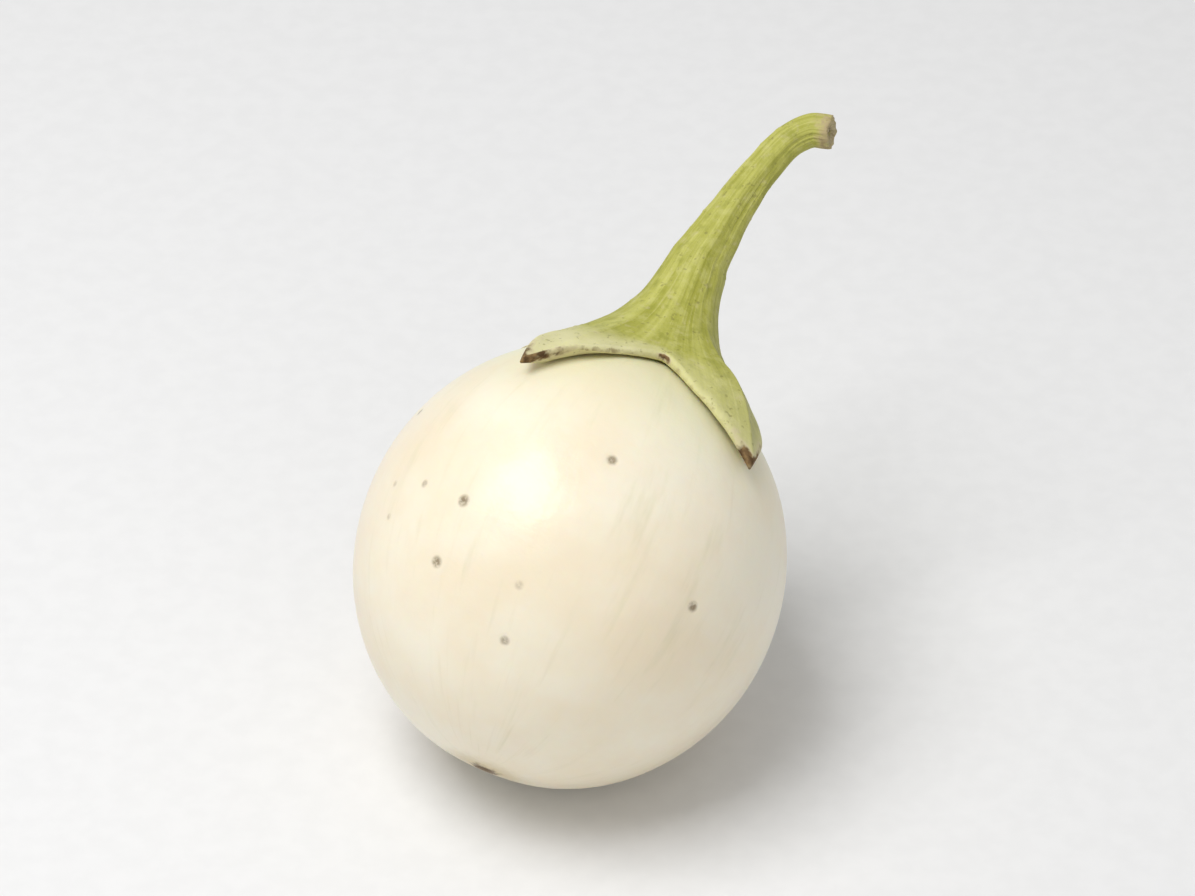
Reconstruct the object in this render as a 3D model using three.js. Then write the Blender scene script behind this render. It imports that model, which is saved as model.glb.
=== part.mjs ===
// Thai eggplant: a small round cream-white berry with its green calyx and its cut stem.
// Millimetres, +Z up. The fruit rests on its flank, on a small flat spot. The origin is the middle
// of that spot. The stem leans back and to the right, as +Y is the far side and +X the right.
//
// Three pieces grow together in the real fruit: the berry, the fleshy calyx that caps it, and the
// stem. Each is drawn about the centre of the berry, with the fruit's own axis as local +Z and its
// azimuth counted from local -Y towards local +X. All three are then leaned over as one.

import * as THREE from 'three';

const degrees = THREE.MathUtils.degToRad;

// Berry: half its width, and its half lengths towards the stem and towards the blossom scar
const EQUATOR_RADIUS = 20;
const STEM_HALF_LENGTH = 21.2;
const BLOSSOM_HALF_LENGTH = 20.8;

// How the fruit lies
const STEM_LEAN = degrees(54.4);
const STEM_HEADING = degrees(28);
const TURN_ON_AXIS = degrees(22.2);
const REST_SPOT_RADIUS = 5.5;

// Calyx: a collar that flares out of the stem, with five pointed sepals.
// azimuth: where a sepal leaves the collar; reach: the polar angle of its tip; swing: how far its
// tip bends round the berry, all in degrees; taper: how slender it is; arch: how far its middle
// bulges outward; lift: how far its tip curls off the skin, both in millimetres.
const SEPALS = [
  { azimuth: -33, reach: 54, swing: -7, taper: 1.75, arch: 0, lift: 0.3 },
  { azimuth: 38, reach: 56, swing: 2, taper: 1.3, arch: 1.25, lift: 0.5 },
  { azimuth: 116, reach: 44, swing: 5, taper: 1.5, arch: 0.5, lift: 0.4 },
  { azimuth: 181, reach: 52, swing: -4, taper: 1.3, arch: 0.5, lift: 0.7 },
  { azimuth: 246, reach: 41, swing: -3, taper: 1.4, arch: 0.1, lift: 0.2 },
].map(({ azimuth, reach, swing, ...shape }) => {
  return { azimuth: degrees(azimuth), reach: degrees(reach), swing: degrees(swing), ...shape };
});
const NOTCH_REACH = degrees(26);
const SEPAL_EDGE = 0.7;
const SEPAL_BODY = 0.3;
const SEPAL_RIB = 0.3;
const SPREAD_START = degrees(7.6);

// How the sepals are rounded: the powers by which the outline, the thickness, the rib and the arch
// fall off, and the share of the way out from which a tip lifts
const OUTLINE_FALL = 1.4;
const THINNING = 3;
const RIB_FALL = 6;
const ARCH_FALL = 1.5;
const LIFT_START = 0.55;

// The collar flares from the neck, where the stem begins, to a polar angle on the berry. The step
// back from its end gives the slope that it meets the sepals with.
const COLLAR_END = degrees(22);
const COLLAR_SWELL = 0.44;
const COLLAR_FADE = degrees(4.8);
const COLLAR_UPPER_PULL = 5.2;
const COLLAR_LOWER_PULL = 3.4;
const COLLAR_END_STEP = 0.01;
const NECK_RADIUS = 3.03;
const NECK_SLOPE = 0.13;
const NECK_TOP = 30.6;
const SEAM = 0.3;

// Stem: the route of its middle above the berry's centre, its girth, the shares of its length over
// which it swells at the cut, and the ridges with the share of its length over which they rise
const STEM_ROUTE = [
  [0, 0, NECK_TOP + SEAM],
  [0.04, 0, 31.8],
  [0.42, 0, 34],
  [0.85, 0, 37],
  [2.15, -0.1, 42.6],
  [3.5, -0.3, 46],
  [5.1, -0.6, 47.65],
  [6.75, -1.2, 48],
].map((point) => new THREE.Vector3(...point));
const STEM_TIP_RADIUS = 1.54;
const STEM_TAPER = 2.9;
const STEM_END_SWELLING = 0.08;
const SWELLING_START = 0.86;
const SWELLING_END = 0.98;
const STEM_RIDGE = 0.035;
const RIDGE_START = 0.2;

// Facets
const BERRY_RINGS = 36;
const BERRY_COLUMNS = 64;
const SEPAL_COLUMNS = 22;
const COLLAR_ROWS = 8;
const CALYX_OUTER_ROWS = 9;
const CALYX_INNER_ROWS = 6;
const STEM_RINGS = 22;
const STEM_COLUMNS = 20;

// A closed solid from a stack of rings with the same number of points, closed by a fan at each end.
function closedStack(firstPoint, rings, lastPoint) {
  const columns = rings[0].length;
  const points = [firstPoint, ...rings.flat(), lastPoint];
  const at = (ring, column) => 1 + ring * columns + (column % columns);
  const faces = [];
  for (let column = 0; column < columns; column++) {
    faces.push(0, at(0, column + 1), at(0, column));
    for (let ring = 0; ring + 1 < rings.length; ring++) {
      const a = at(ring, column);
      const b = at(ring, column + 1);
      const c = at(ring + 1, column + 1);
      const d = at(ring + 1, column);
      faces.push(a, b, c, a, c, d);
    }
    faces.push(points.length - 1, at(rings.length - 1, column), at(rings.length - 1, column + 1));
  }
  const geometry = new THREE.BufferGeometry().setFromPoints(points);
  geometry.setIndex(faces);
  geometry.computeVertexNormals();
  return geometry;
}

const smoothstep = (from, to, value) => THREE.MathUtils.smoothstep(value, from, to);
const steps = (count) => Array.from({ length: count }, (_, index) => index);

// The point at a polar angle from the stem and an azimuth, at a distance from the berry's centre.
function polarPoint(polar, azimuth, distance) {
  return new THREE.Vector3(
    distance * Math.sin(polar) * Math.sin(azimuth),
    -distance * Math.sin(polar) * Math.cos(azimuth),
    distance * Math.cos(polar),
  );
}

// Distance from the centre to the skin: an ovoid, a little longer towards the stem.
function skinRadius(polar) {
  const halfLength = Math.cos(polar) > 0 ? STEM_HALF_LENGTH : BLOSSOM_HALF_LENGTH;
  return 1 / Math.hypot(Math.sin(polar) / EQUATOR_RADIUS, Math.cos(polar) / halfLength);
}

// The lean of the whole fruit, from its own axis to the vertical
const X = new THREE.Vector3(1, 0, 0);
const Z = new THREE.Vector3(0, 0, 1);
const turn = (axis, angle) => new THREE.Quaternion().setFromAxisAngle(axis, angle);
const lean = turn(Z, -STEM_HEADING).multiply(turn(X, -STEM_LEAN)).multiply(turn(Z, TURN_ON_AXIS));
const unlean = lean.clone().invert();

// Where the flat spot cuts the ovoid: its height under the centre and the middle of the cut.
function restSpot() {
  const up = Z.clone().applyQuaternion(unlean);
  const stretch = new THREE.Vector3(EQUATOR_RADIUS, EQUATOR_RADIUS, BLOSSOM_HALF_LENGTH);
  const stretched = up.clone().multiply(stretch);
  const reach = stretched.length();
  const depth = reach * Math.sqrt(1 - (REST_SPOT_RADIUS / EQUATOR_RADIUS) ** 2);
  const middle = stretched.multiply(stretch).multiplyScalar(-depth / reach ** 2);
  return { depth, middle: middle.applyQuaternion(lean) };
}

const rest = restSpot();

// Berry: rings about the vertical, so that the flat spot is a round patch of level facets.
function berry() {
  const skinPoint = (fromBottom, around) => {
    const world = new THREE.Vector3(
      Math.sin(fromBottom) * Math.cos(around),
      Math.sin(fromBottom) * Math.sin(around),
      -Math.cos(fromBottom),
    );
    const own = world.clone().applyQuaternion(unlean);
    const floor = world.z < 0 ? rest.depth / -world.z : Infinity;
    return own.multiplyScalar(Math.min(skinRadius(Math.acos(own.z)), floor));
  };
  const rings = steps(BERRY_RINGS).map((ring) =>
    steps(BERRY_COLUMNS).map((column) =>
      skinPoint((Math.PI * (ring + 1)) / (BERRY_RINGS + 1), (2 * Math.PI * column) / BERRY_COLUMNS),
    ),
  );
  return closedStack(skinPoint(0, 0), rings, skinPoint(Math.PI, 0));
}

// One direction in which the calyx spreads: its azimuth, the polar angle where it ends, and how
// near the middle of its sepal it is, from 0 in the notch to 1 on the rib.
function calyxSpokes() {
  return SEPALS.flatMap((sepal, index) => {
    const before = SEPALS.at(index - 1);
    const after = SEPALS[(index + 1) % SEPALS.length];
    const wrap = (angle) => THREE.MathUtils.euclideanModulo(angle, 2 * Math.PI);
    const halfBefore = wrap(sepal.azimuth - before.azimuth) / 2;
    const halfAfter = wrap(after.azimuth - sepal.azimuth) / 2;
    return steps(SEPAL_COLUMNS).map((column) => {
      const across = (2 * column) / SEPAL_COLUMNS - 1;
      const away = Math.abs(across) ** OUTLINE_FALL;
      const half = across < 0 ? -halfBefore : halfAfter;
      const nearness = 1 - away;
      const reach = NOTCH_REACH + (sepal.reach - NOTCH_REACH) * nearness ** sepal.taper;
      return { azimuth: sepal.azimuth + half * away, reach, nearness, sepal };
    });
  });
}

// Thickness of the calyx beyond the collar: a little swollen near it, then thin towards the edge.
function calyxThickness(polar, outward, nearness) {
  const swell = COLLAR_SWELL * Math.exp((COLLAR_END - polar) / COLLAR_FADE);
  const body = SEPAL_BODY * (1 - outward ** THINNING);
  const rib = SEPAL_RIB * nearness ** RIB_FALL * Math.sin(Math.PI * outward);
  return SEPAL_EDGE + swell + body + rib;
}

// A point of the calyx on one spoke, at a polar angle, on its top or on its underside.
function calyxPoint(spoke, polar, onTop) {
  const { sepal, nearness } = spoke;
  const outward = Math.max(0, (polar - SPREAD_START) / (spoke.reach - SPREAD_START));
  const azimuth = spoke.azimuth + sepal.swing * nearness * outward ** 2;
  const lift = sepal.lift * nearness ** 2 * smoothstep(LIFT_START, 1, outward) ** 2;
  const bulge = sepal.arch * nearness ** ARCH_FALL * Math.sin(Math.PI * outward);
  const height = lift + (onTop ? bulge + calyxThickness(polar, outward, nearness) : bulge / 2);
  return polarPoint(polar, azimuth, skinRadius(polar) + SEAM + height);
}

// Calyx: a flat neck, the collar that flares out of it, the sepals, then the underside on the berry.
function calyx() {
  const spokes = calyxSpokes();
  const flares = spokes.map((spoke) => {
    const { azimuth } = spoke;
    const outwards = new THREE.Vector3(Math.sin(azimuth), -Math.cos(azimuth), 0);
    const rim = new THREE.Vector3(0, 0, NECK_TOP).addScaledVector(outwards, NECK_RADIUS);
    const end = calyxPoint(spoke, COLLAR_END, true);
    const fall = outwards.multiplyScalar(NECK_SLOPE).sub(Z).normalize();
    const rise = calyxPoint(spoke, COLLAR_END - COLLAR_END_STEP, true).sub(end).normalize();
    return new THREE.CubicBezierCurve3(
      rim,
      rim.clone().addScaledVector(fall, COLLAR_UPPER_PULL),
      end.clone().addScaledVector(rise, COLLAR_LOWER_PULL),
      end,
    );
  });
  const collar = steps(COLLAR_ROWS + 1).map((row) => {
    return flares.map((flare) => flare.getPoint(row / COLLAR_ROWS));
  });
  const blade = steps(CALYX_OUTER_ROWS).map((row) => {
    const share = (row + 1) / CALYX_OUTER_ROWS;
    return spokes.map((spoke) => {
      return calyxPoint(spoke, THREE.MathUtils.lerp(COLLAR_END, spoke.reach, share), true);
    });
  });
  const underside = steps(CALYX_INNER_ROWS).map((row) => {
    const share = 1 - row / CALYX_INNER_ROWS;
    return spokes.map((spoke) => calyxPoint(spoke, spoke.reach * share, false));
  });
  const neckMiddle = new THREE.Vector3(0, 0, NECK_TOP);
  const poleOfBerry = new THREE.Vector3(0, 0, STEM_HALF_LENGTH + SEAM);
  const rings = [...collar, ...blade, ...underside].map((ring) => ring.reverse());
  return closedStack(neckMiddle, rings, poleOfBerry);
}

// Girth of the stem a share of the way up: wide where it leaves the neck, swollen at the cut.
function stemRadius(share) {
  const taper = (NECK_RADIUS - STEM_TIP_RADIUS) * (1 - share) ** STEM_TAPER;
  return STEM_TIP_RADIUS + taper + STEM_END_SWELLING * smoothstep(SWELLING_START, SWELLING_END, share);
}

// Stem: rings square to a curved route, with one low ridge for each sepal, cut straight across.
function stem() {
  const route = new THREE.CatmullRomCurve3(STEM_ROUTE);
  const frames = route.computeFrenetFrames(STEM_RINGS - 1, false);
  const rings = steps(STEM_RINGS).map((ring) => {
    const share = ring / (STEM_RINGS - 1);
    const middle = route.getPointAt(share);
    return steps(STEM_COLUMNS).map((column) => {
      const around = (2 * Math.PI * column) / STEM_COLUMNS;
      const height = STEM_RIDGE * smoothstep(0, RIDGE_START, share);
      const ridge = 1 + height * Math.cos(SEPALS.length * around);
      const outward = frames.normals[ring]
        .clone()
        .multiplyScalar(Math.cos(around))
        .addScaledVector(frames.binormals[ring], Math.sin(around));
      return middle.clone().addScaledVector(outward, stemRadius(share) * ridge);
    });
  });
  return closedStack(STEM_ROUTE[0], rings, STEM_ROUTE.at(-1));
}

function piece(name, geometry, finish) {
  const mesh = new THREE.Mesh(geometry, new THREE.MeshStandardMaterial({ metalness: 0, ...finish }));
  mesh.name = name;
  return mesh;
}

const eggplant = new THREE.Group();
eggplant.add(piece('fruit', berry(), { color: 0xf3ead2, roughness: 0.35 }));
eggplant.add(piece('calyx', calyx(), { color: 0xaab46c, roughness: 0.6 }));
eggplant.add(piece('stem', stem(), { color: 0xb0b766, roughness: 0.6 }));
eggplant.quaternion.copy(lean);
eggplant.position.copy(rest.middle).negate();

export default eggplant;
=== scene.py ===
"""Looks of a thai eggplant: the cream-white berry, its green calyx with five sepals, and its stem.

Every form is drawn in millimetres about the centre of the berry, with the fruit's own axis as +Z
towards the stem and azimuths counted from -Y towards +X, and is then leaned over to lie on its
rest spot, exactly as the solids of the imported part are. Each piece replaces one of those solids.
"""

import math

import bpy
import numpy as np
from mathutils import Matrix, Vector, noise


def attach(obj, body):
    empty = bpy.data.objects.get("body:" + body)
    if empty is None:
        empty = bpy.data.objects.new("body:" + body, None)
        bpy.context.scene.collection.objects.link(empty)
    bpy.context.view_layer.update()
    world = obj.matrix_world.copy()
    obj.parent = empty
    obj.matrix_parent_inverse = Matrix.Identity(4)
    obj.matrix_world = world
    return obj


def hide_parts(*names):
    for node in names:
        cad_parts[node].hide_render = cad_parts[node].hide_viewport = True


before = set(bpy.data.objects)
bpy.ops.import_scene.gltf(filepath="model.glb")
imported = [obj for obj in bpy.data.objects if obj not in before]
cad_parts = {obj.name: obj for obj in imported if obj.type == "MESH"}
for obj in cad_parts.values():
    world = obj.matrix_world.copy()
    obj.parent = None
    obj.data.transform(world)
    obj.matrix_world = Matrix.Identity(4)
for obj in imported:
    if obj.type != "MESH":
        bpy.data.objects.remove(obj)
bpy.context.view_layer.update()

MM = 0.001

# The berry and how it lies
EQUATOR_RADIUS = 20.0
STEM_HALF_LENGTH = 21.2
BLOSSOM_HALF_LENGTH = 20.8
STEM_LEAN = math.radians(54.4)
STEM_HEADING = math.radians(28)
TURN_ON_AXIS = math.radians(22.2)
REST_SPOT_RADIUS = 5.5
SKIN_WAVES = 0.16

# The calyx. For each sepal: where it leaves the collar, the polar angle of its tip and how far the
# tip bends round the berry, in degrees; how slender it is, how far its middle bulges, how far its
# tip lifts and how far the margin round its tip curls up, in millimetres; how much paler than the
# others it is.
SEPALS = [
    dict(azimuth=-33, reach=54, swing=-7, taper=1.75, arch=0, lift=0.2, curl=0.9, pale=0.6),
    dict(azimuth=38, reach=56, swing=2, taper=1.3, arch=1.25, lift=0.5, curl=0.25, pale=0),
    dict(azimuth=116, reach=44, swing=5, taper=1.5, arch=0.5, lift=0.4, curl=0.5, pale=0.35),
    dict(azimuth=181, reach=52, swing=-4, taper=1.3, arch=0.5, lift=0.7, curl=0.3, pale=0.2),
    dict(azimuth=246, reach=41, swing=-3, taper=1.4, arch=0.1, lift=0.2, curl=0.6, pale=0.45),
]
NOTCH_REACH = math.radians(26)
SEPAL_EDGE = 0.7
SEPAL_BODY = 0.3
SEPAL_RIB = 0.3
NOTCH_ROUNDING = 0.12
MARGIN_WAVES = 0.5
SPREAD_START = math.radians(7.6)
COLLAR_END = math.radians(22)
COLLAR_SWELL = 0.44
COLLAR_FADE = math.radians(4.8)
COLLAR_UPPER_PULL = 5.2
COLLAR_LOWER_PULL = 3.4
COLLAR_END_STEP = 0.01
NECK_RADIUS = 3.03
NECK_SLOPE = 0.13
NECK_TOP = 30.6
SEAM = 0.12

# The stem: the route of its middle and its girth
STEM_ROUTE = [
    (0, 0, NECK_TOP),
    (0.04, 0, 31.8),
    (0.42, 0, 34),
    (0.85, 0, 37),
    (2.15, -0.1, 42.6),
    (3.5, -0.3, 46),
    (5.1, -0.6, 47.65),
    (6.75, -1.2, 48),
]
STEM_TIP_RADIUS = 1.54
STEM_TAPER = 2.9
STEM_END_SWELLING = 0.08
SWELLING_START = 0.86
SWELLING_END = 0.98
STEM_RIDGE = 0.035
RIDGE_START = 0.2

# Mesh density
BERRY_COLUMNS = 300
BERRY_ROWS = 150
BLOSSOM_ROWS = 44
SEPAL_COLUMNS = 44
CUT_ROWS = 9
TINGE_ROWS = 13
STEM_ROWS = 96
COLLAR_ROWS = 26
BLADE_ROWS = 30
MARGIN_ROWS = 8
UNDER_ROWS = 12


def smoothstep(low, high, value):
    share = np.clip((value - low) / (high - low), 0, 1)
    return share * share * (3 - 2 * share)


def hump(distance, width):
    """A bell that is 1 at no distance."""
    return np.exp(-((distance / width) ** 2))


def turn_about(axis, angle):
    c, s = math.cos(angle), math.sin(angle)
    if axis == "x":
        return np.array([[1, 0, 0], [0, c, -s], [0, s, c]])
    return np.array([[c, -s, 0], [s, c, 0], [0, 0, 1]])


LEAN = turn_about("z", -STEM_HEADING) @ turn_about("x", -STEM_LEAN) @ turn_about("z", TURN_ON_AXIS)


def berry_centre():
    """The berry's centre in the part's frame, whose origin is the middle of the flat spot."""
    up = LEAN.T @ np.array([0, 0, 1])
    stretch = np.array([EQUATOR_RADIUS, EQUATOR_RADIUS, BLOSSOM_HALF_LENGTH])
    stretched = up * stretch
    reach = np.linalg.norm(stretched)
    depth = reach * math.sqrt(1 - (REST_SPOT_RADIUS / EQUATOR_RADIUS) ** 2)
    return LEAN @ (stretched * stretch * depth / reach**2)


CENTRE = berry_centre()


def to_frame(points):
    """Millimetres about the berry's centre to metres in the part's frame."""
    return (points @ LEAN.T + CENTRE) * MM


def polar_point(polar, azimuth, distance):
    flat = distance * np.sin(polar)
    return np.stack([flat * np.sin(azimuth), -flat * np.cos(azimuth), distance * np.cos(polar)], -1)


def skin_radius(polar):
    half_length = np.where(np.cos(polar) > 0, STEM_HALF_LENGTH, BLOSSOM_HALF_LENGTH)
    return 1 / np.hypot(np.sin(polar) / EQUATOR_RADIUS, np.cos(polar) / half_length)


def noise_at(points, scale):
    """Smooth noise from -1 to 1 at each point."""
    flat = points.reshape(-1, 3) * scale
    values = [noise.noise(Vector(point)) for point in flat]
    return np.array(values).reshape(points.shape[:-1])


def ring_faces(rows, columns):
    """Faces of a stack of rings closed by a point at each end, the first ring on the +Z side."""
    near = np.arange(columns)
    far = (near + 1) % columns
    last = 1 + rows * columns
    faces = [(0, 1 + a, 1 + b) for a, b in zip(near, far)]
    for row in range(rows - 1):
        top = 1 + row * columns
        low = top + columns
        faces += [(top + a, low + a, low + b, top + b) for a, b in zip(near, far)]
    base = last - columns
    faces += [(base + a, last, base + b) for a, b in zip(near, far)]
    return faces


def grid_normals(rows):
    """Normals of a grid of rings, from the neighbours of each point along and across."""
    along = np.gradient(rows, axis=0)
    across = np.roll(rows, -1, axis=1) - np.roll(rows, 1, axis=1)
    normals = np.cross(along, across)
    return normals / np.maximum(np.linalg.norm(normals, axis=-1, keepdims=True), 1e-9)


def with_ends(values):
    """A grid of vectors as a list, with the mean of its first and last rings at the ends."""
    return np.concatenate([[values[0].mean(axis=0)], values.reshape(-1, 3), [values[-1].mean(axis=0)]])


def make_piece(name, first, rows, last, marks, normals=None):
    """A closed smooth mesh from rings, which keeps named vectors at its points for the materials."""
    count, columns = rows.shape[:2]
    points = np.concatenate([[first], rows.reshape(-1, 3), [last]])
    world = to_frame(points)
    world[:, 2] = np.maximum(world[:, 2], 0)
    mesh = bpy.data.meshes.new(name)
    mesh.from_pydata(world.tolist(), [], ring_faces(count, columns))
    mesh.polygons.foreach_set("use_smooth", [True] * len(mesh.polygons))
    for key, values in marks.items():
        attribute = mesh.attributes.new(key, "FLOAT_VECTOR", "POINT")
        attribute.data.foreach_set("vector", with_ends(values).astype(np.float32).ravel())
    if normals is not None:
        mesh.normals_split_custom_set_from_vertices((with_ends(normals) @ LEAN.T).tolist())
    piece = bpy.data.objects.new(name, mesh)
    bpy.context.scene.collection.objects.link(piece)
    return piece


# Berry

# The scar that the flower leaves: depths, heights and widths in millimetres
PIT_DEPTH = 0.55
PIT_WIDTH = 0.55
RIM_HEIGHT = 0.16
RIM_PLACE = 1.15
RIM_WIDTH = 0.42
DIMPLE_DEPTH = 0.3
DIMPLE_WIDTH = 4.5
# The polar angle from which the rows lie close together, for the scar
SCAR_START = 2.9
# The skin's waves rise over these angles from the rest spot and from the stem
CLEAR_OF_FLOOR = (0.5, 0.9)
CLEAR_OF_CALYX = (0.75, 1.15)
SKIN_WAVE_SCALE = 1.6


def blossom_relief(polar):
    """The small scar left by the flower: a pit with a raised rim in a shallow dimple."""
    arc = (math.pi - polar) * BLOSSOM_HALF_LENGTH
    pit = -PIT_DEPTH * hump(arc, PIT_WIDTH)
    rim = RIM_HEIGHT * hump(arc - RIM_PLACE, RIM_WIDTH)
    dimple = -DIMPLE_DEPTH * hump(arc, DIMPLE_WIDTH)
    return pit + rim + dimple


def make_berry():
    polar = np.concatenate(
        [
            np.linspace(0, SCAR_START, BERRY_ROWS)[1:],
            np.linspace(SCAR_START, math.pi, BLOSSOM_ROWS)[1:-1],
        ]
    )
    azimuth = np.arange(BERRY_COLUMNS) * 2 * math.pi / BERRY_COLUMNS
    polar, azimuth = np.meshgrid(polar, azimuth, indexing="ij")
    facing = polar_point(polar, azimuth, 1.0)
    to_floor = np.arccos(np.clip(-(facing @ LEAN.T)[..., 2], -1, 1))
    free = smoothstep(*CLEAR_OF_FLOOR, to_floor) * smoothstep(*CLEAR_OF_CALYX, polar)
    waves = SKIN_WAVES * free * noise_at(facing, SKIN_WAVE_SCALE)
    rows = polar_point(polar, azimuth, skin_radius(polar) + blossom_relief(polar) + waves)
    marks = {
        "own": rows / EQUATOR_RADIUS,
        "meridian": np.stack([np.sin(azimuth), -np.cos(azimuth), polar], -1),
    }
    first = np.array([0, 0, STEM_HALF_LENGTH])
    last = np.array([0, 0, -(BLOSSOM_HALF_LENGTH + blossom_relief(math.pi))])
    return make_piece("berry_skin", first, rows, last, marks)


# Calyx and stem

# The powers by which a sepal's outline, thickness, rib and arch fall off
OUTLINE_FALL = 1.4
THINNING = 3
RIB_FALL = 6
ARCH_FALL = 1.5
# Shares of the way out over which a tip lifts, its margin curls and the edge is rounded off
LIFT_START = 0.55
CURL_START = 0.8
EDGE_START = 0.93
FLUTTER = 0.22
SEPAL_KEYS = ("swing", "arch", "lift", "curl", "pale")


def calyx_spokes():
    """The directions in which the calyx spreads, as arrays over its columns."""
    spokes = {key: [] for key in ("azimuth", "reach", "near", *SEPAL_KEYS)}
    for index, sepal in enumerate(SEPALS):
        before = SEPALS[index - 1]["azimuth"]
        after = SEPALS[(index + 1) % len(SEPALS)]["azimuth"]
        half_before = ((sepal["azimuth"] - before) % 360) / 2
        half_after = ((after - sepal["azimuth"]) % 360) / 2
        tip = math.radians(sepal["reach"])
        for column in range(SEPAL_COLUMNS):
            across = 2 * column / SEPAL_COLUMNS - 1
            away = abs(across) ** OUTLINE_FALL
            half = -half_before if across < 0 else half_after
            share = math.hypot(1 - away, NOTCH_ROUNDING) - NOTCH_ROUNDING
            share /= math.hypot(1, NOTCH_ROUNDING) - NOTCH_ROUNDING
            share **= sepal["taper"] - NOTCH_ROUNDING
            spokes["azimuth"].append(math.radians(sepal["azimuth"] + half * away))
            spokes["reach"].append(NOTCH_REACH + (tip - NOTCH_REACH) * share)
            spokes["near"].append(1 - away)
            for key in SEPAL_KEYS:
                spokes[key].append(sepal[key])
    spokes = {key: np.array(values) for key, values in spokes.items()}
    spokes["swing"] = np.radians(spokes["swing"])
    around = np.stack([np.sin(spokes["azimuth"]), np.cos(spokes["azimuth"]), spokes["reach"]], -1)
    waves = noise_at(around, 4.5) + 0.5 * noise_at(around, 11)
    spokes["reach"] += waves * (1 - spokes["near"] ** 4) * MARGIN_WAVES / EQUATOR_RADIUS
    spokes["flutter"] = noise_at(around + 7, 3.3)
    return spokes


SPOKES = calyx_spokes()


def calyx_thickness(polar, outward):
    swell = COLLAR_SWELL * np.exp((COLLAR_END - polar) / COLLAR_FADE)
    body = SEPAL_BODY * (1 - outward**THINNING)
    rib = SEPAL_RIB * SPOKES["near"] ** RIB_FALL * np.sin(math.pi * outward)
    return SEPAL_EDGE + swell + body + rib


def calyx_ring(polar, on_top):
    """One ring of the calyx, at a polar angle for each spoke, on its top or its underside."""
    polar = polar + 0 * SPOKES["reach"]
    outward = np.clip((polar - SPREAD_START) / (SPOKES["reach"] - SPREAD_START), 0, 1)
    near = SPOKES["near"]
    azimuth = SPOKES["azimuth"] + SPOKES["swing"] * near * outward**2
    round_tip = smoothstep(0.45, 0.85, near)
    lift = SPOKES["lift"] * near**2 * smoothstep(LIFT_START, 1, outward) ** 2
    lift = lift + SPOKES["curl"] * smoothstep(CURL_START, 1, outward) ** 1.5 * round_tip
    lift = lift + FLUTTER * np.maximum(SPOKES["flutter"], 0) * smoothstep(0.5, 1, outward)
    bulge = SPOKES["arch"] * near**ARCH_FALL * np.sin(math.pi * outward)
    thickness = calyx_thickness(polar, outward)
    middle = lift + 0.75 * bulge + thickness / 2
    rounding = np.clip((outward - EDGE_START) / (1 - EDGE_START), 0, 1)
    half = (thickness / 2 + 0.25 * bulge) * np.sqrt(1 - 0.97 * rounding**2)
    height = middle + half if on_top else middle - half
    return polar_point(polar, azimuth, skin_radius(polar) + SEAM + height)


ROUTE_STEPS = 40


def stem_route(samples):
    """Points, tangents and shares along the stem's centripetal Catmull-Rom route."""
    knots = np.array(STEM_ROUTE, float)
    knots = np.vstack([2 * knots[0] - knots[1], knots, 2 * knots[-1] - knots[-2]])
    fine = []
    for p0, p1, p2, p3 in zip(knots, knots[1:], knots[2:], knots[3:]):
        d0, d1, d2 = (np.linalg.norm(b - a) ** 0.5 for a, b in ((p0, p1), (p1, p2), (p2, p3)))
        t1 = ((p1 - p0) / d0 - (p2 - p0) / (d0 + d1) + (p2 - p1) / d1) * d1
        t2 = ((p2 - p1) / d1 - (p3 - p1) / (d1 + d2) + (p3 - p2) / d2) * d1
        t = np.linspace(0, 1, ROUTE_STEPS, endpoint=False)[:, None]
        fine.append(
            p1 + t1 * t + (3 * (p2 - p1) - 2 * t1 - t2) * t**2 + (2 * (p1 - p2) + t1 + t2) * t**3
        )
    fine = np.vstack([*fine, knots[-2:-1]])
    lengths = np.concatenate([[0], np.cumsum(np.linalg.norm(np.diff(fine, axis=0), axis=1))])
    shares = np.linspace(0, 1, samples)
    points = np.stack([np.interp(shares * lengths[-1], lengths, fine[:, k]) for k in range(3)], -1)
    tangents = np.gradient(points, axis=0)
    tangents[0] = (0, 0, 1)
    tangents /= np.linalg.norm(tangents, axis=1, keepdims=True)
    return points, tangents, shares


def stem_radius(share):
    taper = (NECK_RADIUS - STEM_TIP_RADIUS) * (1 - share) ** STEM_TAPER
    return STEM_TIP_RADIUS + taper + STEM_END_SWELLING * smoothstep(SWELLING_START, SWELLING_END, share)


def stem_rings():
    """Rings of the stem from the neck up, each turned as little as can be from the one below."""
    points, tangents, shares = stem_route(STEM_ROWS)
    across = np.array([1.0, 0, 0])
    rings = []
    for middle, tangent, share in zip(points, tangents, shares):
        across = across - tangent * (across @ tangent)
        across /= np.linalg.norm(across)
        back = np.cross(tangent, across)
        azimuth = SPOKES["azimuth"]
        outward = np.sin(azimuth)[:, None] * across - np.cos(azimuth)[:, None] * back
        ridge = STEM_RIDGE * smoothstep(0, RIDGE_START, share) * np.cos(len(SEPALS) * azimuth)
        rings.append(middle + outward * (stem_radius(share) * (1 + ridge))[:, None])
    return np.array(rings), points[-1], tangents[-1]


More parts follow.
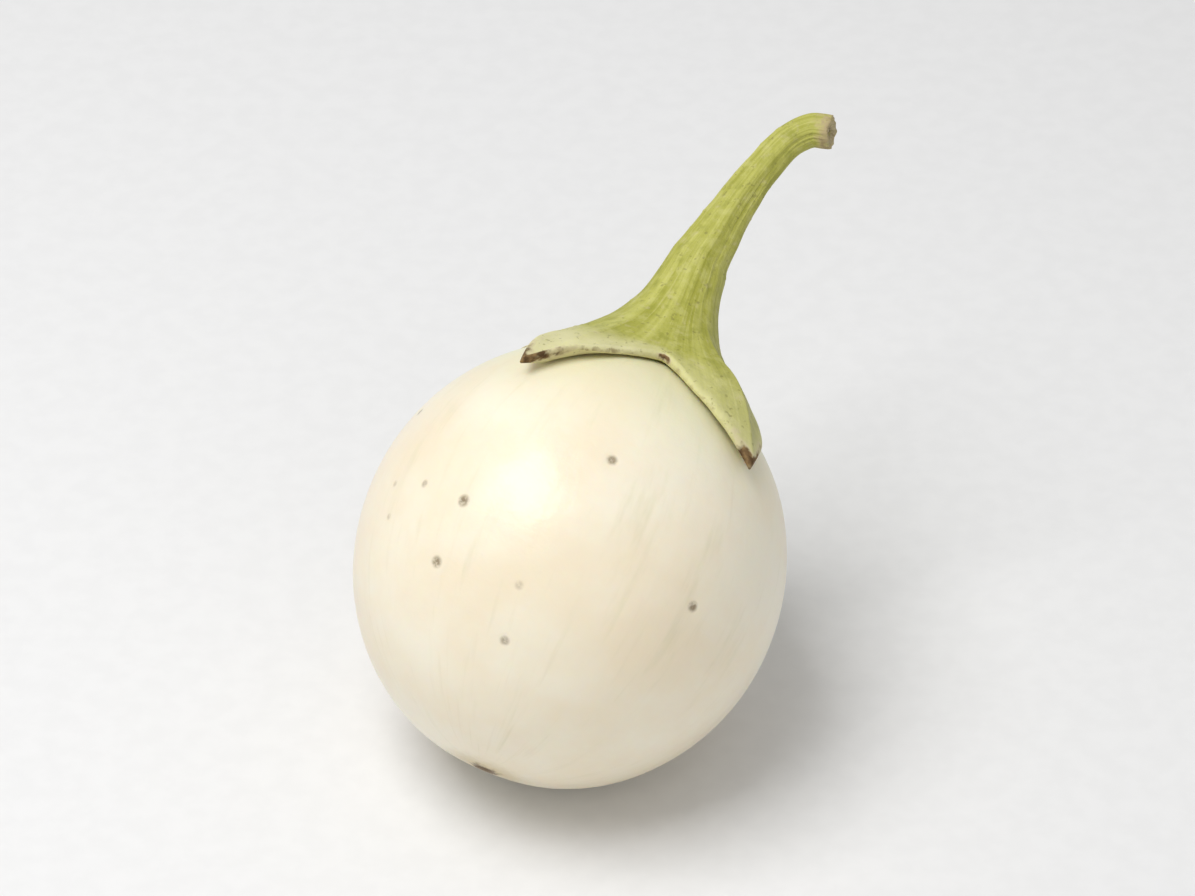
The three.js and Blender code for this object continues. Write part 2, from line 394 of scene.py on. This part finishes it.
def collar_rings():
    """The smooth flare from the stem down into the top of the calyx, a cubic for each spoke."""
    azimuth = SPOKES["azimuth"]
    outwards = np.stack([np.sin(azimuth), -np.cos(azimuth), 0 * azimuth], -1)
    rim = outwards * NECK_RADIUS + (0, 0, NECK_TOP)
    fall = outwards * NECK_SLOPE - (0, 0, 1)
    fall /= np.linalg.norm(fall, axis=-1, keepdims=True)
    end = calyx_ring(COLLAR_END, True)
    rise = calyx_ring(COLLAR_END - COLLAR_END_STEP, True) - end
    rise /= np.linalg.norm(rise, axis=-1, keepdims=True)
    upper = rim + fall * COLLAR_UPPER_PULL
    lower = end + rise * COLLAR_LOWER_PULL
    rings = []
    for t in np.linspace(0, 1, COLLAR_ROWS + 1)[1:]:
        s = 1 - t
        rings.append(s**3 * rim + 3 * s * s * t * upper + 3 * s * t * t * lower + t**3 * end)
    return np.array(rings)


LINE_HEIGHT = 0.1
FINE_LINE_HEIGHT = 0.05
BUMP_HEIGHT = 0.08
PIMPLE_HEIGHT = 0.25
PIMPLE_LEVEL = 0.45


def relief(rows, length):
    """Height of the lengthwise lines, bumps and pimples of the green tissue, in millimetres."""
    azimuth = np.broadcast_to(SPOKES["azimuth"], rows.shape[:2])
    lines = np.stack([np.sin(azimuth), np.cos(azimuth), length[:, None] * 0.02 + 0 * azimuth], -1)
    coarse = noise_at(lines, 2.3)
    fine = noise_at(lines + 5, 7.5)
    bumps = noise_at(rows, 0.5)
    pimples = np.maximum(noise_at(rows + 9, 1.9) - PIMPLE_LEVEL, 0)
    ribbed = LINE_HEIGHT * coarse + FINE_LINE_HEIGHT * fine
    return ribbed + BUMP_HEIGHT * bumps + PIMPLE_HEIGHT * pimples


# The cut end: heights in millimetres, places and widths as shares of its radius
DISH_DEPTH = 0.5
DISH_WIDTH = 0.45
WOOD_HEIGHT = 0.12
WOOD_PLACE = 0.75
WOOD_WIDTH = 0.15
FIBRE_HEIGHT = 0.16
TORN_HEIGHT = 0.28


def cut_face(rim, end, outwards):
    """The end of the stem: a torn rim, a ring of darker wood and a sunken pith."""
    rings = []
    azimuth = SPOKES["azimuth"]
    torn = noise_at(np.stack([np.sin(azimuth), np.cos(azimuth), 0 * azimuth], -1), 2.6)
    for share in np.linspace(0.1, 1, CUT_ROWS):
        fibres = noise_at(np.stack([np.sin(azimuth), np.cos(azimuth), share + 0 * azimuth], -1), 3.7)
        dish = -DISH_DEPTH * hump(share, DISH_WIDTH) + WOOD_HEIGHT * hump(share - WOOD_PLACE, WOOD_WIDTH)
        rough = FIBRE_HEIGHT * fibres * 4 * share * (1 - share)
        height = dish + rough + TORN_HEIGHT * torn * share**3
        rings.append(end + (rim - end) * share + outwards * height[:, None])
    return rings


# Shares of the way out from the collar: where the closely spaced rows of the margin start on the
# top and end on the underside. The relief fades by MARGIN_CALM towards the margin.
MARGIN_START = 0.9
UNDER_START = 0.88
MARGIN_CALM = 0.8


def make_green():
    stem, end, end_tangent = stem_rings()
    stem = stem[::-1]
    cut = cut_face(stem[0], end, end_tangent)
    stem = stem[1:]
    collar = collar_rings()
    quarter_turn = np.linspace(0, math.pi / 2, MARGIN_ROWS + 1)[1:]
    shares = np.concatenate(
        [
            np.linspace(0, MARGIN_START, BLADE_ROWS + 1)[1:],
            MARGIN_START + (1 - MARGIN_START) * np.sin(quarter_turn),
        ]
    )
    spread = SPOKES["reach"] - COLLAR_END
    blade = [calyx_ring(COLLAR_END + spread * share, True) for share in shares]
    under_shares = np.concatenate([shares[::-1][1:MARGIN_ROWS], np.linspace(UNDER_START, 0, UNDER_ROWS)])
    under = [calyx_ring(COLLAR_END + spread * share, False) for share in under_shares]
    under += [calyx_ring(polar, False) for polar in COLLAR_END * np.linspace(0.8, 0.1, 5)]
    rows = np.concatenate([cut, stem, collar, blade, under])

    steps = np.linalg.norm(np.diff(rows.mean(axis=1), axis=0), axis=1)
    length = np.concatenate([[0], np.cumsum(steps)])
    shape = rows.shape[:2]
    near = np.broadcast_to(SPOKES["near"], shape)
    first_blade = len(cut) + len(stem) + len(collar)
    top_count = first_blade + len(blade)
    row = np.arange(shape[0])[:, None] + 0 * near
    share = np.zeros(shape[0])
    share[first_blade:top_count] = shares
    share[top_count : top_count + len(under_shares)] = under_shares
    share = share[:, None] + 0 * near
    normals = grid_normals(rows)
    amount = relief(rows, length) * (row < top_count) * (1 - MARGIN_CALM * smoothstep(0.85, 1, share))
    amount = amount * smoothstep(len(cut) - 2, len(cut) + 2, row)
    rows = rows + normals * amount[..., None]
    normals = grid_normals(rows)

    azimuth = SPOKES["azimuth"] + 0 * near
    dry_tip = smoothstep(0.82, 0.99, share) * smoothstep(0.7, 0.97, near)
    dry_notch = 0.8 * smoothstep(0.85, 0.97, share) * smoothstep(0.15, 0.05, near)
    margin = smoothstep(0.9, 1, share)
    pale = smoothstep(0, 0.6, share) * (0.35 + SPOKES["pale"] * np.sqrt(near))
    pale = pale + 0.35 * smoothstep(0.7, 0.97, share)
    cut_mark = 1 - smoothstep(len(cut) - 1, len(cut) + TINGE_ROWS, row)
    radial = np.clip(row / (len(cut) - 1), 0, 1)
    marks = {
        "flow": np.stack([np.sin(azimuth), -np.cos(azimuth), length[:, None] * 0.1 + 0 * near], -1),
        "own": rows / EQUATOR_RADIUS,
        "tissue": np.stack([np.maximum(dry_tip, dry_notch), margin, pale], -1),
        "cut": np.stack([cut_mark, radial, 0 * near], -1),
    }
    split = len(cut) + len(stem)
    neck = rows[split - 1].mean(axis=0)

    def part(name, low, high, first, last):
        chosen = {key: values[low:high] for key, values in marks.items()}
        return make_piece(name, first, rows[low:high], last, chosen, normals[low:high])

    tip = end - end_tangent * DISH_DEPTH
    pole = np.array([0, 0, STEM_HALF_LENGTH + SEAM])
    stalk = part("stem_stalk", 0, split, tip, neck)
    cap = part("calyx_sepals", split - 1, len(rows), neck, pole)
    return stalk, cap


# Materials


class Shader:
    """A short way to lay out a material's nodes."""

    def __init__(self, name):
        self.material = bpy.data.materials.new(name)
        self.material.use_nodes = True
        self.nodes = self.material.node_tree.nodes
        self.links = self.material.node_tree.links
        self.surface = self.nodes["Principled BSDF"]

    def node(self, kind, inputs=None, **settings):
        made = self.nodes.new(kind)
        for key, value in settings.items():
            setattr(made, key, value)
        for key, value in (inputs or {}).items():
            self.feed(made.inputs[key], value)
        return made

    def feed(self, socket, value):
        if isinstance(value, bpy.types.NodeSocket):
            self.links.new(value, socket)
        else:
            socket.default_value = value

    def attribute(self, name):
        return self.node("ShaderNodeAttribute", attribute_name=name).outputs["Vector"]

    def split(self, vector):
        return self.node("ShaderNodeSeparateXYZ", {"Vector": vector}).outputs

    def math(self, operation, *values):
        made = self.node("ShaderNodeMath", operation=operation)
        for socket, value in zip(made.inputs, values):
            self.feed(socket, value)
        return made.outputs[0]

    def scaled(self, vector, scale):
        made = self.node("ShaderNodeVectorMath", {0: vector, 1: scale}, operation="MULTIPLY")
        return made.outputs[0]

    def noise(self, vector, scale, detail=3.0, roughness=0.5):
        made = self.node(
            "ShaderNodeTexNoise",
            {"Vector": vector, "Scale": scale, "Detail": detail, "Roughness": roughness},
        )
        return made.outputs["Fac"]

    def ramp(self, value, low, high, to_low=0.0, to_high=1.0):
        made = self.node(
            "ShaderNodeMapRange",
            {"Value": value, "From Min": low, "From Max": high, "To Min": to_low, "To Max": to_high},
            interpolation_type="SMOOTHSTEP",
        )
        return made.outputs["Result"]

    def mix(self, share, under, over):
        made = self.node("ShaderNodeMix", data_type="RGBA")
        self.feed(made.inputs["Factor"], share)
        self.feed(made.inputs[6], under)
        self.feed(made.inputs[7], over)
        return made.outputs[2]

    def bump(self, height, strength, distance, under=None):
        made = self.node(
            "ShaderNodeBump", {"Height": height, "Strength": strength, "Distance": distance}
        )
        if under is not None:
            self.feed(made.inputs["Normal"], under)
        return made.outputs["Normal"]

    def finish(self, **inputs):
        for key, value in inputs.items():
            self.feed(self.surface.inputs[key.replace("_", " ")], value)
        return self.material


def rgb(red, green, blue):
    return (red, green, blue, 1.0)


# Small brown specks: polar angle and azimuth in degrees, radius in millimetres, darkness
SPECKS = [
    (70, -1, 0.55, 0.75),
    (94, -34, 0.62, 0.8),
    (92, -49, 0.4, 0.5),
    (111, -37, 0.6, 0.75),
    (125, -10, 0.5, 0.6),
    (96, 35, 0.55, 0.8),
    (110, -11, 0.45, 0.3),
    (93, -62, 0.36, 0.3),
    (102, -60, 0.34, 0.3),
    (75, 150, 0.5, 0.7),
    (108, 125, 0.42, 0.6),
    (95, 205, 0.55, 0.75),
    (118, 235, 0.4, 0.5),
    (70, 285, 0.46, 0.6),
    (126, 95, 0.4, 0.5),
]
# How far the soft edge of a speck reaches, in its radii
SPECK_EDGE = 1.25


WARM_CREAM = rgb(0.875, 0.77, 0.58)
LIGHT_CREAM = rgb(0.91, 0.85, 0.695)
OLIVE_STREAK = rgb(0.66, 0.62, 0.40)
TAN_STREAK = rgb(0.74, 0.66, 0.47)
GREEN_SHOULDER = rgb(0.72, 0.74, 0.37)
SPECK_BROWN = rgb(0.16, 0.10, 0.035)
SCAR_RIM = rgb(0.62, 0.50, 0.26)
SCAR_CORE = rgb(0.13, 0.075, 0.03)


def skin_material():
    s = Shader("eggplant_skin")
    own = s.attribute("own")
    meridian = s.attribute("meridian")
    polar = s.split(meridian)[2]

    streaks = s.noise(s.scaled(meridian, (1, 1, 0.22)), 5.5, 4.0, 0.6)
    fine_streaks = s.noise(s.scaled(meridian, (1, 1, 0.12)), 17, 3.0, 0.6)
    clouds = s.noise(own, 1.6, 4.0, 0.55)
    cream = s.mix(s.ramp(clouds, 0.3, 0.7), WARM_CREAM, LIGHT_CREAM)
    cream = s.mix(s.ramp(streaks, 0.56, 0.78, 0, 0.45), cream, OLIVE_STREAK)
    cream = s.mix(s.ramp(fine_streaks, 0.55, 0.8, 0, 0.28), cream, TAN_STREAK)
    shoulder = s.math("MULTIPLY", s.ramp(polar, 0.35, 1.25, 1, 0), s.ramp(clouds, 0.2, 0.8, 0.35, 0.8))
    cream = s.mix(shoulder, cream, GREEN_SHOULDER)

    darkness = None
    hollow = None
    for speck_polar, azimuth, radius, strength in SPECKS:
        angle = math.radians(speck_polar)
        place = polar_point(angle, math.radians(azimuth), skin_radius(angle)) / EQUATOR_RADIUS
        away = s.node("ShaderNodeVectorMath", {0: own, 1: tuple(place)}, operation="DISTANCE")
        reach = SPECK_EDGE * radius / EQUATOR_RADIUS
        dark = s.ramp(away.outputs["Value"], reach * 0.25, reach, strength, 0)
        dip = s.ramp(away.outputs["Value"], 0, reach * 1.4, strength, 0)
        darkness = dark if darkness is None else s.math("MAXIMUM", darkness, dark)
        hollow = dip if hollow is None else s.math("MAXIMUM", hollow, dip)
    ragged = s.noise(own, 60, 2.0)
    darkness = s.math("MULTIPLY", darkness, s.ramp(ragged, 0.3, 0.55, 0.45, 1))
    cream = s.mix(darkness, cream, SPECK_BROWN)

    scar_edge = s.math("ADD", polar, s.ramp(s.noise(own, 30), 0.3, 0.7, -0.012, 0.012))
    cream = s.mix(s.ramp(scar_edge, 2.9, 3.08, 0, 0.7), cream, SCAR_RIM)
    cream = s.mix(s.ramp(scar_edge, 3.055, 3.095, 0, 0.92), cream, SCAR_CORE)

    pores = s.noise(own, 95, 2.0)
    swell = s.noise(own, 7, 3.0)
    normal = s.bump(pores, 0.12, 0.00006)
    normal = s.bump(swell, 0.25, 0.0004, normal)
    normal = s.bump(s.math("MULTIPLY", hollow, -1.0), 0.6, 0.0002, normal)
    return s.finish(
        Base_Color=cream,
        Roughness=s.ramp(clouds, 0.2, 0.8, 0.27, 0.36),
        Normal=normal,
        IOR=1.5,
        Subsurface_Weight=0.35,
        Subsurface_Radius=(1.0, 0.7, 0.35),
        Subsurface_Scale=0.002,
    )


DARK_GREEN = rgb(0.35, 0.35, 0.05)
LIGHT_GREEN = rgb(0.52, 0.515, 0.13)
PALE_LINE = rgb(0.62, 0.60, 0.22)
DEEP_CLOUD = rgb(0.26, 0.265, 0.035)
DEEP_MOTTLE = rgb(0.27, 0.28, 0.04)
PALE_MOTTLE = rgb(0.64, 0.62, 0.26)
PALE_SEPAL = rgb(0.70, 0.665, 0.37)
PRICKLE_BROWN = rgb(0.2, 0.18, 0.05)
MARGIN_BROWN = rgb(0.23, 0.16, 0.07)
DRY_PALE = rgb(0.60, 0.53, 0.32)
DRY_DARK = rgb(0.09, 0.05, 0.02)
DRY_BROWN = rgb(0.26, 0.165, 0.07)
CUT_TINGE = rgb(0.50, 0.42, 0.20)
PITH_HOLLOW = rgb(0.14, 0.09, 0.04)
PITH = rgb(0.52, 0.44, 0.27)
RIND = rgb(0.45, 0.365, 0.20)
RIND_GRAIN = rgb(0.27, 0.20, 0.10)


def green_material():
    s = Shader("eggplant_green")
    own = s.attribute("own")
    flow = s.attribute("flow")
    tissue = s.split(s.attribute("tissue"))
    cut = s.split(s.attribute("cut"))

    streaks = s.noise(s.scaled(flow, (1, 1, 0.12)), 4.5, 4.0, 0.6)
    lines = s.noise(s.scaled(flow, (1, 1, 0.07)), 19, 3.0, 0.6)
    clouds = s.noise(own, 6, 4.0, 0.6)
    mottle = s.noise(own, 16, 3.0, 0.55)
    green = s.mix(s.ramp(streaks, 0.3, 0.7), DARK_GREEN, LIGHT_GREEN)
    green = s.mix(s.ramp(lines, 0.52, 0.75, 0, 0.4), green, PALE_LINE)
    green = s.mix(s.ramp(clouds, 0.5, 0.8, 0, 0.4), green, DEEP_CLOUD)
    green = s.mix(s.ramp(mottle, 0.5, 0.72, 0, 0.5), green, DEEP_MOTTLE)
    green = s.mix(s.ramp(mottle, 0.5, 0.3, 0, 0.3), green, PALE_MOTTLE)
    pale = s.math("MULTIPLY", tissue[2], s.ramp(clouds, 0.2, 0.7, 0.7, 1.1))
    green = s.mix(pale, green, PALE_SEPAL)
    spots = s.noise(own, 38, 2.0)
    green = s.mix(s.ramp(spots, 0.62, 0.72, 0, 0.5), green, PRICKLE_BROWN)

    ragged = s.ramp(s.noise(own, 18, 3.0), 0.25, 0.75, -0.3, 0.3)
    fine_ragged = s.ramp(s.noise(own, 34, 3.0), 0.3, 0.7, -0.25, 0.25)
    edge = s.ramp(s.math("ADD", tissue[1], fine_ragged), 0.72, 1.12)
    edge = s.math("MULTIPLY", edge, s.ramp(clouds, 0.45, 0.65, 0.1, 0.8))
    green = s.mix(edge, green, MARGIN_BROWN)
    dry_pale = s.ramp(s.math("ADD", tissue[0], ragged), 0.15, 0.5, 0, 0.8)
    green = s.mix(dry_pale, green, DRY_PALE)
    dryness = s.ramp(s.math("ADD", tissue[0], ragged), 0.45, 0.85)
    grain = s.ramp(s.noise(own, 30, 3.0), 0.35, 0.7)
    brown = s.mix(grain, DRY_DARK, DRY_BROWN)
    green = s.mix(dryness, green, brown)

    tinge = s.ramp(s.math("ADD", cut[0], fine_ragged), 0.3, 1.0, 0, 0.7)
    green = s.mix(tinge, green, CUT_TINGE)
    cut_mix = s.ramp(s.math("ADD", cut[0], s.math("MULTIPLY", fine_ragged, 0.5)), 0.84, 1.04)
    pith = s.mix(s.ramp(cut[1], 0.15, 0.4), PITH_HOLLOW, PITH)
    pith = s.mix(s.ramp(s.math("ADD", cut[1], fine_ragged), 0.6, 0.95), pith, RIND)
    pith = s.mix(s.ramp(grain, 0.5, 1, 0, 0.5), pith, RIND_GRAIN)
    green = s.mix(cut_mix, green, pith)

    normal = s.bump(lines, 0.3, 0.00012)
    normal = s.bump(streaks, 0.4, 0.0003, normal)
    normal = s.bump(s.noise(own, 55, 3.0), 0.35, 0.00012, normal)
    rough = s.ramp(s.math("MAXIMUM", dryness, cut_mix), 0, 1, 0.58, 0.9)
    return s.finish(
        Base_Color=green,
        Roughness=rough,
        Normal=normal,
        IOR=1.34,
        Subsurface_Weight=0.12,
        Subsurface_Radius=(0.8, 0.9, 0.3),
        Subsurface_Scale=0.0008,
    )


FLOOR_SHADE = rgb(0.80, 0.80, 0.80)
FLOOR_LIGHT = rgb(0.82, 0.82, 0.82)


def floor_material():
    s = Shader("studio_floor")
    grain = s.noise(s.node("ShaderNodeTexCoord").outputs["Object"], 400, 2.0)
    shade = s.mix(s.ramp(grain, 0.3, 0.7), FLOOR_SHADE, FLOOR_LIGHT)
    return s.finish(Base_Color=shade, Roughness=0.8)


# Studio, in metres

FLOOR_HALF = 2.0
FLOOR_DROP = 0.00002
SOFTBOX_PLACE = (-0.16, -0.07, 0.48)
SOFTBOX_SIZE = (0.32, 0.26)
SOFTBOX_WATTS = 1.85
FILL_PLACE = (0.2, -0.55, 0.3)
FILL_SIZE = (0.5, 0.4)
FILL_WATTS = 0.25
ROOM_LIGHT = 0.46


def make_floor():
    mesh = bpy.data.meshes.new("studio_floor")
    half = FLOOR_HALF
    corners = [(-half, -half, 0), (half, -half, 0), (half, half, 0), (-half, half, 0)]
    mesh.from_pydata(corners, [], [(0, 1, 2, 3)])
    floor = bpy.data.objects.new("studio_floor", mesh)
    floor.location.z = -FLOOR_DROP
    bpy.context.scene.collection.objects.link(floor)
    mesh.materials.append(floor_material())


def make_area_light(name, place, target, size, watts):
    light = bpy.data.lights.new(name, "AREA")
    light.shape = "RECTANGLE"
    light.size, light.size_y = size
    light.energy = watts
    holder = bpy.data.objects.new(name, light)
    holder.location = place
    holder.rotation_euler = (Vector(target) - Vector(place)).to_track_quat("-Z", "Y").to_euler()
    bpy.context.scene.collection.objects.link(holder)


def make_light():
    target = Vector(CENTRE * MM)
    make_area_light("overhead_softbox", SOFTBOX_PLACE, target, SOFTBOX_SIZE, SOFTBOX_WATTS)
    make_area_light("front_fill", FILL_PLACE, target, FILL_SIZE, FILL_WATTS)
    world = bpy.data.worlds.new("studio")
    world.use_nodes = True
    background = world.node_tree.nodes["Background"]
    background.inputs["Color"].default_value = (1.0, 1.0, 1.0, 1.0)
    background.inputs["Strength"].default_value = ROOM_LIGHT
    bpy.context.scene.world = world


CAMERA_ELEVATION = math.radians(38)
CAMERA_LENS = 150.0
SENSOR_WIDTH = 36.0
FRAME_ASPECT = 896 / 1195
FRAME_FILL = 0.76


def make_camera():
    """A long lens at the photograph's angle, with the whole fruit and its stem in the frame."""
    right = Vector((1, 0, 0))
    back = Vector((0, -math.cos(CAMERA_ELEVATION), math.sin(CAMERA_ELEVATION)))
    up = back.cross(right)
    corners = [vertex.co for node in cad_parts.values() for vertex in node.data.vertices]
    heights = [corner.dot(up) for corner in corners]
    widths = [corner.dot(right) for corner in corners]
    depths = [corner.dot(back) for corner in corners]
    middle = [(min(values) + max(values)) / 2 for values in (widths, heights, depths)]
    target = right * middle[0] + up * middle[1] + back * middle[2]
    shown = (max(heights) - min(heights)) / FRAME_FILL
    data = bpy.data.cameras.new("camera")
    data.lens = CAMERA_LENS
    data.sensor_width = SENSOR_WIDTH
    data.clip_start = 0.01
    camera = bpy.data.objects.new("camera", data)
    camera.location = target + back * (shown * CAMERA_LENS / (SENSOR_WIDTH * FRAME_ASPECT))
    camera.rotation_euler = (-back).to_track_quat("-Z", "Y").to_euler()
    bpy.context.scene.collection.objects.link(camera)
    bpy.context.scene.camera = camera


def dress(piece, node, material):
    piece.data.materials.append(material)
    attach(piece, "root")
    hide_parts(node)


bpy.context.scene.view_settings.view_transform = "Standard"
make_floor()
make_light()
make_camera()
dress(make_berry(), "fruit", skin_material())
green = green_material()
stalk, cap = make_green()
dress(stalk, "stem", green)
dress(cap, "calyx", green)
